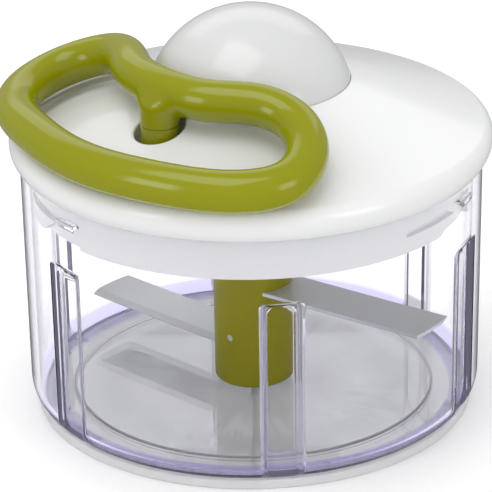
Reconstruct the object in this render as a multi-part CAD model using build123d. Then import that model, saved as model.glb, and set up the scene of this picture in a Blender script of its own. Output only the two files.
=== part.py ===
from build123d import *
import os
from math import acos, asin, atan, cos, degrees, hypot, pi, radians, sin, sqrt

# Pull-cord food chopper.  Millimetres, +Z up.  The origin is the centre of the base pad's underside.
# Plan angles are in degrees about +Z from +X.  The camera side of the object is -Y.

os.makedirs("parts", exist_ok=True)

# ---- shared fits
running_gap = 0.05
free_gap = 0.3
seat_gap = 0.15

# ---- base pad
pad_inset = 2.2
pad_floor = 2.0
pad_lip_top = 3.0
pad_lip_w = 1.5
pad_rib_inset = 11.2
pad_rib_w = 1.2
pad_rib_h = 0.7

# ---- bowl
bowl_r = 72.4
bowl_corner_z = 10.0
bowl_corner_r = 8.0
bowl_draft = 0.487
bowl_wall = 2.6
bowl_floor = 2.6
bowl_inner_corner_r = 5.0
bowl_rim_z = 86.0
floor_disc_inset = 15.1
floor_disc_h = 0.6
floor_disc_edge = 0.36
pivot_boss_r = 7.0
pivot_boss_top = 8.7
pivot_pin_r = 4.0
pivot_pin_z0 = 3.4
pivot_pin_top = 64.0
pivot_pin_tip = 1.2

# ---- grip flutes round the bowl
flute_count = 6
flute_angle = -83.3
flute_top = 63.0
pocket_w = 13.3
pocket_depth = 1.3
pocket_edge_r = 0.5
groove_w = 9.3
groove_depth = 1.2
groove_top_drop = 1.0
groove_top_r = 3.0
flute_wall = 1.9

# ---- bayonet
lug_count = 3
lug_angle = -143.3
lug_len = 9.6
lug_z0 = 76.5
lug_z1 = 78.2
lug_reach = 2.4
lug_slant = 1.0
lock_turn = 20.0
channel_side = 1.6
channel_under = 0.6
channel_over = 0.8
channel_wall = 1.8
channel_funnel = 8.0

# ---- lid outside: a cone with a rounded shoulder and a flared rim
cone_slope = 0.3426
rim_lip = 2.85
rim_rise = 3.85
shoulder_r = 4.76
flare_r = 7.35
rim_bottom_z = 84.6
cover_wall = 2.4
cover_inner_step_z = 90.0
cover_inner_step_w = 1.95

# ---- dome cap
dome_r = 33.2
dome_sink = 10.5
dome_wall = 2.2
dome_base_r = 31.4
dome_flange = 1.2
dome_hole_r = 30.0
dome_skirt_wall = 1.2
dome_skirt_h = 5.2
collar_w = 2.4
collar_h = 3.9
snap_reach = 0.6
snap_h = 1.0
snap_angles = (-73.5, 46.5, 166.5)
snap_width = 10.0

# ---- handle: closed loop tube lying along the cone
handle_angle = -133.8
handle_rise = 8.2
tube_r = 6.5
loop_inner = [
    (46.5, 56.8), (34.5, 55.0), (24.0, 40.0), (26.7, 28.5), (34.2, 16.5), (37.0, 1.0),
    (33.0, -17.0), (24.8, -29.4), (20.9, -39.0), (27.5, -53.3), (45.0, -54.8),
]
loop_outer = [(54.0, -49.4), (66.5, -28.5), (73.3, -2.0), (68.6, 29.5), (53.5, 53.2)]
loop_sections = 20
stem_r = 6.0
stem_pos_r = 39.9
stem_joint_z = 104.5
stem_bore_r = 4.0
stem_bore_top = 116.0
stem_top_z = 115.0
plug_bottom_z = 96.2
plug_top_z = 110.0
plug_chamfer = 0.8
knot_r = 2.8
knot_sink = 0.56

# ---- recess in the lid under the handle, and the stem's sleeve
recess_depth = 2.0
recess_half = [(66.5, 14.0), (58.5, 35.5), (45.5, 54.6), (21.0, 53.3), (14.5, 37.5), (34.5, 8.0)]
recess_radii = [40.0, 34.0, 8.0, 12.0, 7.0, 14.0]
sleeve_r = 8.0
sleeve_wall = 1.6
sleeve_bottom_z = 94.0
bush_hole_r = 3.0
bush_bore_r = 1.3
bush_flange_r = 4.4

# ---- lid base: floor plate, skirt and flange
skirt_gap = 1.15
skirt_wall = 1.9
skirt_z = 70.7
plate_z = 78.0
plate_h = 2.2
flange_z = 87.5
flange_h = 2.0
lid_screw_pos_r = 56.0
lid_screw_angles = (-73.5, 46.5, 166.5)
lid_boss_r = 4.4
lid_well_top = 80.4
lid_boss_z = 82.6
lid_screw_r = 1.5
lid_screw_head_r = 2.9
lid_screw_head_h = 1.8
lid_screw_tip_z = 92.0

# ---- drive
bush_r = 9.0
bush_top_z = 81.2
bush_lip_r = 11.0
washer_top_z = 82.0
journal_r = 7.0
peg_w = 7.0
peg_z = 75.3
socket_r = 14.0
socket_inner_r = 11.6
socket_z = 69.4
socket_top_z = 77.4
socket_plate_h = 2.4
socket_rib_r = 7.9
socket_rib_w = 3.0
drive_screw_head_r = 4.4
drive_screw_head_h = 2.2
drive_screw_tip_z = 83.0

# ---- cord reel, cord and guide roller
reel_r = 21.0
reel_z0 = 82.0
reel_z1 = 89.5
reel_flange_h = 1.5
drum_r = 14.0
winding_r = 15.95
cord_r = 0.9
cord_gap = 0.2
lead_r = 17.0
cord_z = 84.9
lead_wrap = 80.0
tube_top_z = 103.8
roller_groove_r = 3.2
roller_flange_r = 4.3
roller_w = 3.2
roller_bore_r = 1.55
roller_axle_r = 1.5
cheek_gap = 0.4
cheek_w = 1.8
cheek_len = 8.0
cheek_top_z = 92.0

# ---- spring housing in the dome
housing_r = 22.2
housing_wall = 1.8
housing_z0 = 92.0
housing_z1 = 104.0
housing_floor = 1.6
housing_lid_h = 1.6
post_pos_r = 25.2
post_r = 3.0
post_angles = (-73.5, 46.5, 166.5)
post_screw_r = 1.25
post_screw_head_r = 2.3
post_screw_head_h = 1.5
post_screw_tip_z = 82.0
axle_r = 3.0
axle_z0 = 85.0
axle_top_boss_r = 5.5
axle_top_boss_z = 109.0
spring_turns = 7
spring_steps = 12
spring_r0 = 7.6
spring_r1 = 19.8
spring_t = 0.5
spring_z0 = 94.2
spring_z1 = 103.2

# ---- blade assembly
hub_r = 12.8
hub_z0 = 6.2
hub_z1 = 68.5
hub_edge_r = 0.8
hub_recess_r = 8.0
hub_recess_top = 9.5
bushing_r = 6.2
bushing_top_z = 66.0
bushing_end_h = 1.6
head_r = 7.4
head_top_z = 74.4
wing_r = 11.1
wing_w = 5.0
head_well_r = 4.8
head_well_z = 71.5
blade_half_w = 8.5
blade_t = 1.2
blade_root = 6.6
blade_bevel_w = 2.6
blade_edge_t = 0.3
lower_blade_angle = 137.7
lower_blade_top = 18.2
lower_blade_gap = 1.7
upper_blade_angle = -35.4
upper_blade_top = 40.0
upper_blade_gap = 0.7
pin_r = 1.15
pin_z = 23.0
pin_angle = -127.8
pin_inner_r = 5.0
pin_sunk = 0.3

# ---- values that follow from those above
wall_slope = sin(radians(bowl_draft))
floor_top = pad_floor + bowl_floor
disc_top = floor_top + floor_disc_h
pad_r = bowl_r - pad_inset
pad_rib_r = bowl_r - pad_rib_inset
floor_disc_r = bowl_r - floor_disc_inset
flute_back_r = bowl_r - pocket_depth - groove_depth - flute_wall
bowl_mouth_r = bowl_r + wall_slope * (bowl_rim_z - bowl_corner_z)
bowl_inner_r = bowl_mouth_r - bowl_wall
rim_inner_r = bowl_mouth_r + free_gap
rim_r = rim_inner_r + rim_lip
rim_z = bowl_rim_z + rim_rise
cone_apex_z = rim_z + cone_slope * (rim_r - shoulder_r) + shoulder_r * hypot(1, cone_slope)
dome_base_z = cone_apex_z - cone_slope * dome_base_r
dome_z = dome_base_z - dome_sink
skirt_r = bowl_inner_r - skirt_gap
channel_r = bowl_inner_r - lug_reach - 2 * seat_gap
channel_z0 = lug_z0 - channel_under
channel_z1 = lug_z1 + channel_over
seal_r0 = bowl_inner_r + seat_gap
seal_r1 = bowl_mouth_r - seat_gap
plate_top = plate_z + plate_h
flange_top = flange_z + flange_h
thick_v = cover_wall * hypot(1, cone_slope)
roller_r = roller_groove_r + cord_r + running_gap
roller_z = cord_z + roller_r
lower_blade_r = flute_back_r - lower_blade_gap
upper_blade_r = flute_back_r - upper_blade_gap


def cone_z(r):
    """Height of the lid's conical top at radius r."""
    return cone_apex_z - cone_slope * r


def bowl_r_at(z):
    """Outside radius of the bowl's drafted wall at height z."""
    return bowl_r + wall_slope * (z - bowl_corner_z)


def at(angle, r=0.0, z=0.0):
    """Location on a radius: local X points outwards."""
    return Rot(0, 0, angle) * Pos(r, 0, z)


def around(part, angles, r=0.0):
    """Copies of a part at several plan angles on one pitch radius."""
    return [at(a, r) * part for a in angles]


def disc(r, z0, z1):
    """Solid cylinder between two heights."""
    return Pos(0, 0, z0) * Cylinder(r, z1 - z0, align=(Align.CENTER, Align.CENTER, Align.MIN))


def ring(r0, r1, z0, z1):
    """Plain ring between two radii and two heights."""
    return disc(r1, z0, z1) - disc(r0, z0, z1)


def slab(x0, x1, width, z0, z1):
    """Box from x0 to x1, centred on Y."""
    box = Box(x1 - x0, width, z1 - z0, align=(Align.MIN, Align.CENTER, Align.MIN))
    return Pos(x0, 0, z0) * box


def turned(points, radii=0.0):
    """Solid of revolution of a closed (r, z) outline with rounded corners."""
    if radii:
        outline = FilletPolyline(*points, radius=radii, close=True)
    else:
        outline = Polyline(*points, close=True)
    return revolve(Plane.XZ * make_face(outline), Axis.Z)


def sector(r0, r1, z0, z1, a0, a1):
    """Part of a ring between two plan angles."""
    section = make_face(Polyline((r0, z0), (r1, z0), (r1, z1), (r0, z1), close=True))
    return Rot(0, 0, a0) * revolve(Plane.XZ * section, Axis.Z, a1 - a0)


def mirrored(half):
    """The other half of a point list that is symmetric about the u axis, in reverse order."""
    return [(u, -v) for u, v in reversed(half)]


def screw(shank_r, head_r, z_tip, z_seat, z_head):
    """Vertical screw with a flat round head and a plain shank."""
    low, high = sorted((z_seat, z_head))
    return disc(shank_r, min(z_tip, z_seat), max(z_tip, z_seat)) + disc(head_r, low, high)


# ------------------------------------------------------------------ bowl group
def base_pad():
    """Soft pad that the bowl stands on, with a lip outside the bowl's corner."""
    pad = disc(pad_r, 0, pad_floor)
    pad += ring(pad_r - pad_lip_w, pad_r, pad_floor, pad_lip_top)
    pad += ring(pad_rib_r, pad_rib_r + pad_rib_w, pad_floor, pad_floor + pad_rib_h)
    return pad


def bowl_shell():
    """Drafted clear shell with a slightly raised floor disc."""
    top_r = bowl_mouth_r
    low_r = bowl_r_at(pad_floor)
    floor_r = low_r - bowl_wall + wall_slope * bowl_floor
    outer = [(0, pad_floor), (low_r, pad_floor), (top_r, bowl_rim_z), (0, bowl_rim_z)]
    body = turned(outer, [0, bowl_corner_r, 0, 0])
    inner = [(0, floor_top), (floor_r, floor_top), (top_r - bowl_wall, bowl_rim_z), (0, bowl_rim_z)]
    body -= turned(inner, [0, bowl_inner_corner_r, 0, 0])
    step = disc(floor_disc_r, floor_top, disc_top)
    body += chamfer(step.edges().group_by(Axis.Z)[-1], floor_disc_edge)
    return body


def flute_backs():
    """Inward bulge that keeps the wall's thickness behind a flute's groove."""
    flank = bowl_r - bowl_wall - flute_back_r
    reach = flank + bowl_wall / 2
    back = Box(reach, groove_w + 2 * flank, flute_top - floor_top, align=(Align.MIN, Align.CENTER, Align.MIN))
    edges = back.faces().sort_by(Axis.X)[0].edges()
    back = chamfer(edges.sort_by(Axis.Z)[1:], flank)
    lift = wall_slope * (floor_top - bowl_corner_z)
    return Pos(flute_back_r + lift, 0, floor_top) * Rot(0, bowl_draft, 0) * back


def flute_cuts():
    """Outer pocket with an arched inner groove, both running out at the bottom corner."""
    height = flute_top
    reach = 2 * bowl_wall
    pocket = Box(reach, pocket_w, height, align=(Align.MIN, Align.CENTER, Align.MIN))
    groove = Box(reach, groove_w, height - groove_top_drop, align=(Align.MIN, Align.CENTER, Align.MIN))
    pocket = fillet(pocket.edges().filter_by(Axis.Z).group_by(Axis.X)[0], pocket_edge_r)
    groove = fillet(groove.edges().filter_by(Axis.X).group_by(Axis.Z)[-1], groove_top_r)
    tilt = Rot(0, bowl_draft, 0)
    low_r = bowl_r - wall_slope * bowl_corner_z
    cuts = Pos(low_r - pocket_depth, 0, 0) * tilt * pocket
    return cuts + Pos(low_r - pocket_depth - groove_depth, 0, 0) * tilt * groove


def lug():
    """Bayonet lug on the bowl's inner wall, slanted at its leading end."""
    r_wall = bowl_r_at(lug_z0) - bowl_wall
    half = degrees(lug_len / 2 / r_wall)
    body = sector(r_wall - lug_reach, r_wall + bowl_wall / 2, lug_z0, lug_z1, -half, half)
    nick = Box(4 * lug_reach, 2 * lug_slant, 4 * lug_slant)
    nick = Pos(r_wall - lug_reach, -lug_len / 2, lug_z0) * Rot(45, 0, 0) * nick
    return body - nick


def bowl():
    """Clear bowl: shell, flutes, bayonet lugs and the boss for the pivot pin."""
    angles = [flute_angle + i * 360 / flute_count for i in range(flute_count)]
    lugs = [lug_angle + i * 360 / lug_count for i in range(lug_count)]
    body = bowl_shell()
    for back in around(flute_backs(), angles):
        body += back
    for cut in around(flute_cuts(), angles):
        body -= cut
    for one in around(lug(), lugs):
        body += one
    body += disc(pivot_boss_r, floor_top, pivot_boss_top)
    body -= disc(pivot_pin_r, pivot_pin_z0, pivot_boss_top)
    body -= ring(pad_rib_r, pad_rib_r + pad_rib_w, pad_floor, pad_floor + pad_rib_h)
    return body


def bowl_pivot_pin():
    """Steel pin pressed in the bowl's boss."""
    pin = disc(pivot_pin_r, pivot_pin_z0, pivot_pin_top)
    return fillet(pin.edges().group_by(Axis.Z)[-1], pivot_pin_tip)


# ------------------------------------------------------------------ lid group
def recess_prism(z0, z1, grow=0.0):
    """Prism over the outline of the shallow recess under the handle."""
    corners = recess_half + mirrored(recess_half)
    outline = make_face(FilletPolyline(*corners, radius=recess_radii + recess_radii[::-1], close=True))
    if grow:
        outline = offset(outline, grow)
    return Rot(0, 0, handle_angle) * Pos(0, 0, z0) * extrude(outline, z1 - z0)


def under_cone(drop, z0):
    """Everything below the lid's conical top lowered by drop."""
    return turned([(0, z0), (rim_r, z0), (rim_r, cone_z(rim_r) - drop), (0, cone_z(0) - drop)])


def cover_outline():
    """Half section of the lid's top shell."""
    slope = degrees(atan(cone_slope))
    centre = (rim_r - shoulder_r, rim_z)
    shoulder = CenterArc(centre, shoulder_r, 0, 90 - slope)
    flare_angle = degrees(asin((rim_z - rim_bottom_z) / flare_r))
    flare = CenterArc((rim_r - flare_r, rim_z), flare_r, -flare_angle, flare_angle)
    under_r = rim_inner_r - cover_inner_step_w
    collar_z = dome_base_z - collar_h
    rest = Polyline(
        shoulder @ 1,
        (dome_hole_r, (shoulder @ 1).Y + cone_slope * ((shoulder @ 1).X - dome_hole_r)),
        (dome_hole_r, collar_z),
        (dome_hole_r + collar_w, collar_z),
        (dome_hole_r + collar_w, cone_z(dome_hole_r + collar_w) - thick_v),
        (under_r, cone_z(under_r) - thick_v),
        (rim_inner_r, cover_inner_step_z),
        (rim_inner_r, rim_bottom_z),
        flare @ 0,
    )
    return make_face(Plane.XZ * (flare + shoulder + rest))


def lid_cover():
    """White top shell with the handle's recess, the stem's sleeve and three screw bosses."""
    body = revolve(cover_outline(), Axis.Z)
    pan_depth = recess_depth + thick_v
    low_z = rim_bottom_z - pan_depth
    pan = recess_prism(rim_bottom_z, cone_apex_z, thick_v) & under_cone(thick_v / 2, low_z)
    body += pan - under_cone(pan_depth, low_z)
    floor_z = cone_z(stem_pos_r) - recess_depth
    sleeve = disc(sleeve_r + sleeve_wall, sleeve_bottom_z, floor_z - thick_v / 2)
    body += at(handle_angle, stem_pos_r) * sleeve
    body -= recess_prism(rim_bottom_z, cone_apex_z) - under_cone(recess_depth, low_z)
    body -= at(handle_angle, stem_pos_r) * disc(sleeve_r, sleeve_bottom_z + sleeve_wall, cone_apex_z)
    body -= at(handle_angle, stem_pos_r) * disc(bush_hole_r, sleeve_bottom_z, cone_apex_z)
    body -= disc(dome_base_r + seat_gap, dome_base_z - dome_flange, cone_apex_z)
    boss_top = cone_z(lid_screw_pos_r) - pan_depth + thick_v / 2
    for boss in around(disc(lid_boss_r, lid_boss_z, boss_top), lid_screw_angles, lid_screw_pos_r):
        body += boss
    hole = disc(lid_screw_r, lid_boss_z, lid_screw_tip_z)
    for cut in around(hole, lid_screw_angles, lid_screw_pos_r):
        body -= cut
    return body


def dome_cap():
    """Round cap over the spring, snapped into the cover's collar."""
    cap = Pos(0, 0, dome_z) * (Sphere(dome_r) - Sphere(dome_r - dome_wall))
    cap -= disc(2 * dome_r, dome_z - 2 * dome_r, dome_base_z)
    skirt_out = dome_hole_r - seat_gap
    skirt_in = skirt_out - dome_skirt_wall
    cap += ring(skirt_in, dome_base_r, dome_base_z - dome_flange, dome_base_z)
    cap += ring(skirt_in, skirt_out, dome_base_z - dome_skirt_h, dome_base_z)
    half = degrees(snap_width / 2 / dome_hole_r)
    z1 = dome_base_z - collar_h - seat_gap
    for a in snap_angles:
        cap += sector(skirt_in, dome_hole_r + snap_reach, z1 - snap_h, z1, a - half, a + half)
    return cap


def channel_cuts(angle):
    """Bayonet channel in the skirt: a mouth that opens wider downwards, and a run to the locked end."""
    side = lug_len / 2 + channel_side
    half = degrees(side / skirt_r)
    deep = skirt_r + channel_side
    corners = [(-side - channel_funnel, skirt_z), (side, skirt_z), (side, channel_z0), (-side, channel_z0)]
    mouth = extrude(Plane.YZ * make_face(Polyline(*corners, close=True)), deep)
    mouth = Rot(0, 0, angle) * (mouth - disc(channel_r, skirt_z, channel_z0))
    return mouth, sector(channel_r, deep, channel_z0, channel_z1, angle - half - lock_turn, angle + half)


def lid_base():
    """Inner lid: floor plate, skirt with bayonet channels, flange, posts and roller cheeks."""
    body = ring(skirt_r - skirt_wall, skirt_r, skirt_z, flange_top)
    body += ring(skirt_r - skirt_wall, rim_inner_r - seat_gap, flange_z, flange_top)
    body += disc(skirt_r - skirt_wall, plate_z, plate_top)
    half = degrees((lug_len / 2 + 2 * channel_side) / skirt_r)
    for i in range(lug_count):
        a = lug_angle + i * 360 / lug_count
        body += sector(channel_r - channel_wall, skirt_r, skirt_z, channel_z1 + channel_side, a - half - lock_turn, a + half)
    for i in range(lug_count):
        for cut in channel_cuts(lug_angle + i * 360 / lug_count):
            body -= cut
    for boss in around(disc(lid_boss_r, plate_z, lid_boss_z), lid_screw_angles, lid_screw_pos_r):
        body += boss
    well = disc(lid_screw_head_r + free_gap, plate_z, lid_well_top) + disc(lid_screw_r, plate_z, lid_boss_z)
    for cut in around(well, lid_screw_angles, lid_screw_pos_r):
        body -= cut
    for post in around(disc(post_r, plate_top, housing_z0), post_angles, post_pos_r):
        body += post
    hole = disc(post_screw_r, post_screw_tip_z, housing_z0)
    for cut in around(hole, post_angles, post_pos_r):
        body -= cut
    body += roller_cheeks()
    body -= disc(bush_r, plate_z, plate_top)
    return body


def lead_angle():
    """Turn of the cord's horizontal run from the inward radial direction."""
    return degrees(asin(lead_r / stem_pos_r))


def roller_place():
    """Location of the guide roller: local X along the cord's run, local Y its axle."""
    return at(handle_angle, stem_pos_r) * Rot(0, 0, 180 + lead_angle()) * Pos(roller_r, 0, roller_z)


def across(r, width):
    """Cylinder along local Y, centred."""
    return Rot(90, 0, 0) * Cylinder(r, width)


def roller_cheeks():
    """Two upright ears that hold the guide roller's axle."""
    inner = roller_w / 2 + cheek_gap
    ear = Box(cheek_len, cheek_w, cheek_top_z - plate_top, align=(Align.CENTER, Align.CENTER, Align.MIN))
    ears = Pos(0, inner + cheek_w / 2, plate_top - roller_z) * ear
    ears += Pos(0, -inner - cheek_w / 2, plate_top - roller_z) * ear
    ears -= across(roller_axle_r, 2 * (inner + cheek_w))
    return roller_place() * ears


def roller_axle():
    """Steel axle between the roller's ears."""
    return roller_place() * across(roller_axle_r, 2 * (roller_w / 2 + cheek_gap + cheek_w))


def guide_roller():
    """Small grooved roller that turns the cord from vertical to horizontal."""
    half = roller_w / 2
    outline = Polyline(
        (roller_bore_r, -half), (roller_flange_r, -half), (roller_groove_r, -cord_r / 2),
        (roller_groove_r, cord_r / 2), (roller_flange_r, half), (roller_bore_r, half), close=True,
    )
    return roller_place() * Rot(90, 0, 0) * revolve(Plane.XZ * make_face(outline), Axis.Z)


def cord_bush():
    """Smooth eyelet that the cord leaves the lid through."""
    top = sleeve_bottom_z + sleeve_wall
    bush = disc(bush_hole_r, sleeve_bottom_z, top) + disc(bush_flange_r, top, plug_bottom_z)
    return at(handle_angle, stem_pos_r) * (bush - disc(bush_bore_r, sleeve_bottom_z, plug_bottom_z))


def cord_lead():
    """Cord from the knot in the handle, over the roller and round the reel."""
    turn = lead_angle()
    run = sqrt(stem_pos_r ** 2 - lead_r ** 2)
    touch = handle_angle - degrees(acos(lead_r / stem_pos_r))
    down = Line((0, 0, plug_top_z), (0, 0, roller_z))
    bend = Plane.XZ * CenterArc((roller_r, roller_z), roller_r, 180, 90)
    level = Line((roller_r, 0, cord_z), (run, 0, cord_z))
    out = at(handle_angle, stem_pos_r) * Rot(0, 0, 180 + turn) * (down + bend + level)
    wrap = Pos(0, 0, cord_z) * CenterArc((0, 0), lead_r, touch - lead_wrap, lead_wrap)
    path = Wire(out.edges() + wrap.edges())
    start = at(handle_angle, stem_pos_r) * Pos(0, 0, plug_top_z)
    section = start * Circle(cord_r)
    tube = sweep(section, path)
    print("cord lead: path", round(path.length, 1), "mm, volume ratio",
          round(tube.volume / (pi * cord_r ** 2 * path.length), 4))
    return tube


def drive_bush():
    """Flanged plain bearing for the reel's journal."""
    body = disc(bush_r, plate_z, plate_top) + disc(bush_lip_r, plate_top, bush_top_z)
    return body - disc(journal_r + running_gap, plate_z, bush_top_z)


def eared_disc(z0, z1):
    """Disc of the housing's size with three ears for the long screws."""
    body = disc(housing_r, z0, z1)
    ear = disc(post_r, z0, z1) + slab(-housing_wall - post_r, 0, 2 * post_r, z0, z1)
    for one in around(ear, post_angles, post_pos_r):
        body += one
    return body


def spring_housing():
    """Round box for the return spring, on three screw posts."""
    inner = housing_r - housing_wall
    body = eared_disc(housing_z0, housing_z1)
    body -= disc(inner, housing_z0 + housing_floor, housing_z1)
    body -= disc(journal_r + free_gap, housing_z0, housing_z1)
    for cut in around(disc(post_screw_r, housing_z0, housing_z1), post_angles, post_pos_r):
        body -= cut
    return body


def spring_housing_lid():
    """Lid of the spring housing, which holds the axle's upper end."""
    top = housing_z1 + housing_lid_h
    body = eared_disc(housing_z1, top)
    body += disc(axle_top_boss_r, housing_z1, axle_top_boss_z)
    body -= disc(axle_r, housing_z1, axle_top_boss_z)
    for cut in around(disc(post_screw_r, housing_z1, top), post_angles, post_pos_r):
        body -= cut
    return body


def housing_screws():
    """Three long screws through the housing into the posts."""
    seat = housing_z1 + housing_lid_h
    one = screw(post_screw_r, post_screw_head_r, post_screw_tip_z, seat, seat + post_screw_head_h)
    return Compound(around(one, post_angles, post_pos_r))


def lid_screws():
    """Three screws from below that hold the cover on the lid base."""
    head = lid_well_top - lid_screw_head_h
    one = screw(lid_screw_r, lid_screw_head_r, lid_screw_tip_z, lid_well_top, head)
    return Compound(around(one, lid_screw_angles, lid_screw_pos_r))


def power_spring():
    """Flat strip wound in a spiral between the reel's tube and the housing."""
    steps = spring_steps * spring_turns
    grow = (spring_r1 - spring_r0) / steps

    def spiral(extra):
        return [
            ((spring_r0 + extra + grow * i) * cos(2 * pi * i / spring_steps),
             (spring_r0 + extra + grow * i) * sin(2 * pi * i / spring_steps))
            for i in range(steps + 1)
        ]

    inside, outside = Spline(*spiral(0)), Spline(*spiral(spring_t))
    ends = Line(inside @ 0, outside @ 0) + Line(inside @ 1, outside @ 1)
    strip = make_face(inside + outside + ends)
    return Pos(0, 0, spring_z0) * extrude(strip, spring_z1 - spring_z0)


# ------------------------------------------------------------------ reel group
def cord_reel():
    """Reel with a journal and square peg below and the spring's tube above."""
    body = disc(reel_r, reel_z0, reel_z0 + reel_flange_h)
    body += disc(reel_r, reel_z1 - reel_flange_h, reel_z1)
    body += disc(drum_r, reel_z0, reel_z1)
    body += disc(journal_r, socket_top_z, tube_top_z)
    body += slab(-peg_w / 2, peg_w / 2, peg_w, peg_z, socket_top_z)
    body -= disc(axle_r + running_gap, axle_z0 - free_gap, tube_top_z)
    return body - disc(lid_screw_r, peg_z, drive_screw_tip_z)


def drive_socket():
    """Cup under the lid with two inner ribs that drive the blade hub."""
    body = disc(socket_r, socket_z, socket_top_z)
    body -= disc(socket_inner_r, socket_z, socket_top_z - socket_plate_h)
    top = socket_top_z - socket_plate_h
    rib = slab(socket_rib_r, (socket_inner_r + socket_r) / 2, socket_rib_w, socket_z, top)
    for one in around(rib, (90, 270)):
        body += one
    return body - slab(-peg_w / 2, peg_w / 2, peg_w, peg_z - peg_w, socket_top_z)


def drive_screw():
    """Screw that holds the socket on the reel's peg."""
    seat = socket_top_z - socket_plate_h
    return screw(lid_screw_r, drive_screw_head_r, drive_screw_tip_z, seat, seat - drive_screw_head_h)


# ------------------------------------------------------------------ handle group
def loop_point(u, v):
    """Point of the loop's centreline above the lid's cone."""
    return (u, v, cone_z(hypot(u, v)) + handle_rise)


def loop_section(line, t):
    """Round section of the loop at a share t of its length, with its seam on top."""
    point, along = line @ t, line % t
    level = Vector(0, 0, 1).cross(along)
    return Plane(point, x_dir=along.cross(level), z_dir=along) * Circle(tube_r)


def handle():
    """Closed loop tube with the stem that carries the cord, as one moulding."""
    line = Spline(*[loop_point(u, v) for u, v in loop_inner + loop_outer], periodic=True)
    share = line.param_at_point(loop_point(*loop_inner[-1]))
    steps = [i / loop_sections for i in range(loop_sections + 1)]
    stem = at(0, stem_pos_r)
    body = loft([loop_section(line, share * t) for t in steps])
    body += stem * disc(stem_r, stem_joint_z, stem_top_z)
    body -= stem * disc(stem_bore_r, stem_joint_z, stem_bore_top)
    body += loft([loop_section(line, share + (1 - share) * t) for t in steps])
    return Rot(0, 0, handle_angle) * body


def handle_plug():
    """Lower end of the stem: a plug with a bore for the cord."""
    body = disc(stem_r, plug_bottom_z, stem_joint_z)
    body = chamfer(body.edges().group_by(Axis.Z)[0], plug_chamfer)
    body += disc(stem_bore_r, stem_joint_z, plug_top_z)
    body -= disc(cord_r + cord_gap, plug_bottom_z, plug_top_z)
    return at(handle_angle, stem_pos_r) * body


def cord_knot():
    """Stopper knot at the cord's end, inside the stem."""
    ball = Pos(0, 0, plug_top_z + knot_r - knot_sink) * Sphere(knot_r)
    return at(handle_angle, stem_pos_r) * (ball & disc(knot_r, plug_top_z, stem_bore_top))


# ------------------------------------------------------------------ blade group
def blade(angle, reach, top, edge_side, bevel_up):
    """Flat steel blade with one long edge ground to a bevel."""
    low = top - blade_t
    plate = slab(blade_root, reach, 2 * blade_half_w, low, top) & disc(reach, low, top)
    tall = blade_t - blade_edge_t
    width = blade_bevel_w
    edge = edge_side * blade_half_w
    inner = edge - edge_side * width
    if bevel_up:
        corner = [(inner, top), (edge, top), (edge, top - tall)]
    else:
        corner = [(inner, low), (edge, low), (edge, low + tall)]
    wedge = extrude(Plane.YZ * make_face(Polyline(*corner, close=True)), reach)
    wedge -= disc(hub_r, low, top)
    return Rot(0, 0, angle) * (plate - wedge)


def lower_blade():
    """Lower blade, bevelled on the upper side of its leading edge."""
    return blade(lower_blade_angle, lower_blade_r, lower_blade_top, 1, True)


def upper_blade():
    """Upper blade, bevelled on the lower side of its leading edge."""
    return blade(upper_blade_angle, upper_blade_r, upper_blade_top, 1, False)


def hub_bushing():
    """Plain bearing sleeve inside the hub, closed at the top."""
    body = disc(bushing_r, hub_recess_top, bushing_top_z)
    body -= disc(pivot_pin_r + running_gap, hub_recess_top, bushing_top_z - bushing_end_h)
    return body - pin_shape(0)


def pin_shape(sunk):
    """Radial pin from inside the bushing's wall out to the hub's face."""
    length = hub_r - sunk - pin_inner_r
    return at(pin_angle, pin_inner_r + length / 2, pin_z) * Rot(0, 90, 0) * Cylinder(pin_r, length)


def bushing_pin():
    """Steel pin that locks the bushing in the hub."""
    return pin_shape(pin_sunk)


def blade_hub():
    """Olive hub column moulded round the blade roots, with the driven head on top."""
    body = disc(hub_r, hub_z0, hub_z1)
    body = fillet(body.edges().group_by(Axis.Z)[0], hub_edge_r)
    body = fillet(body.edges().group_by(Axis.Z)[-1], hub_edge_r)
    body += disc(head_r, hub_z1, head_top_z)
    body += slab(-wing_r, wing_r, wing_w, hub_z1, head_top_z) & disc(wing_r, hub_z1, head_top_z)
    body -= disc(head_well_r, head_well_z, head_top_z)
    body -= disc(hub_recess_r, hub_z0, hub_recess_top)
    body -= disc(bushing_r, hub_z0, bushing_top_z)
    body -= pin_shape(0)
    return body - lower_blade() - upper_blade()


# ------------------------------------------------------------------ parts
parts = {
    "base_pad": base_pad(),
    "bowl": bowl(),
    "bowl_pivot_pin": bowl_pivot_pin(),
    "lid_seal": ring(seal_r0, seal_r1, bowl_rim_z, flange_z),
    "lid_cover": lid_cover(),
    "dome_cap": dome_cap(),
    "lid_base": lid_base(),
    "lid_screws": lid_screws(),
    "spring_housing": spring_housing(),
    "spring_housing_lid": spring_housing_lid(),
    "housing_screws": housing_screws(),
    "reel_axle": disc(axle_r, axle_z0, axle_top_boss_z),
    "reel_washer": ring(journal_r + free_gap, bush_lip_r, bush_top_z, washer_top_z),
    "drive_bush": drive_bush(),
    "cord_bush": cord_bush(),
    "roller_axle": roller_axle(),
    "power_spring": power_spring(),
    "cord_lead": cord_lead(),
    "guide_roller": guide_roller(),
    "cord_reel": cord_reel(),
    "cord_winding": ring(drum_r, winding_r, reel_z0 + reel_flange_h, reel_z1 - reel_flange_h),
    "drive_socket": drive_socket(),
    "drive_screw": drive_screw(),
    "handle": handle(),
    "handle_plug": handle_plug(),
    "cord_knot": cord_knot(),
    "blade_hub": blade_hub(),
    "hub_bushing": hub_bushing(),
    "bushing_pin": bushing_pin(),
    "lower_blade": lower_blade(),
    "upper_blade": upper_blade(),
}

for name, shape in parts.items():
    export_step(shape, "parts/" + name + ".step")
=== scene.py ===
import math

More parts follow.
